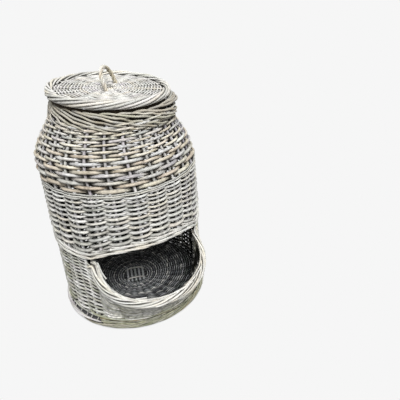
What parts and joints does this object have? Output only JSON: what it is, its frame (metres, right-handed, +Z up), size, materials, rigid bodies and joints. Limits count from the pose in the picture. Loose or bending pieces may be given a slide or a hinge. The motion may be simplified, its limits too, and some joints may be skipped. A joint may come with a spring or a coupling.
{
  "type": "onion basket",
  "caption": "Round willow storage basket with a narrow neck, a loose lid with a loop handle, and a low front opening with a projecting scoop.",
  "frame": {"origin": "on the floor, in the middle of the footprint of jar and scoop", "axes": "+Z up, -Y towards the scoop and its opening, +X to the right of someone who looks along +Y"},
  "size_m": [0.354, 0.4152, 0.5449],
  "materials": {
    "pale_willow": "weathered matt willow",
    "dense_willow": "weathered matt willow",
    "grey_willow": "weathered matt willow",
    "brown_willow": "weathered matt willow",
    "stake_willow": "weathered matt willow",
    "base_willow": "weathered matt willow",
    "handle_willow": "weathered matt willow"
  },
  "bodies": {
    "basket": {"foot_border": "pale_willow", "base_weave": "base_willow", "base_cross_stick_1": "base_willow", "base_long_stick_1": "base_willow", "base_cross_stick_2": "base_willow", "base_long_stick_2": "base_willow", "base_cross_stick_3": "base_willow", "base_long_stick_3": "base_willow", "base_cross_stick_4": "base_willow", "base_long_stick_4": "base_willow", "lower_weave": "dense_willow", "scoop_rim": "pale_willow", "opening_wale": "pale_willow", "middle_weave": "grey_willow", "shoulder_weave": "brown_willow", "stake_1": "stake_willow", "stake_2": "stake_willow", "stake_3": "stake_willow", "stake_4": "stake_willow", "stake_5": "stake_willow", "stake_6": "stake_willow", "stake_7": "stake_willow", "stake_8": "stake_willow", "stake_9": "stake_willow", "stake_10": "stake_willow", "stake_11": "stake_willow", "stake_12": "stake_willow", "stake_13": "stake_willow", "stake_14": "stake_willow", "stake_15": "stake_willow", "stake_16": "stake_willow", "stake_17": "stake_willow", "stake_18": "stake_willow", "upper_stake_1": "stake_willow", "upper_stake_2": "stake_willow", "upper_stake_3": "stake_willow", "upper_stake_4": "stake_willow", "upper_stake_5": "stake_willow", "upper_stake_6": "stake_willow", "scoop_stake_1": "stake_willow", "scoop_stake_2": "stake_willow", "scoop_stake_3": "stake_willow", "scoop_stake_4": "stake_willow", "scoop_stake_5": "stake_willow", "scoop_stake_6": "stake_willow", "neck_border": "brown_willow"},
    "lid": {"lid_border": "pale_willow", "lid_weave": "pale_willow", "lid_cross_stick_1": "pale_willow", "lid_long_stick_1": "pale_willow", "lid_cross_stick_2": "pale_willow", "lid_long_stick_2": "pale_willow", "lid_cross_stick_3": "pale_willow", "lid_long_stick_3": "pale_willow", "handle_rod_1": "handle_willow", "handle_rod_2": "handle_willow"}
  },
  "joints": [
    {"name": "lid_lift", "type": "slide", "parent": "basket", "child": "lid", "axis": [0, 0, 1], "range_m": [0, 0.15]}
  ]
}
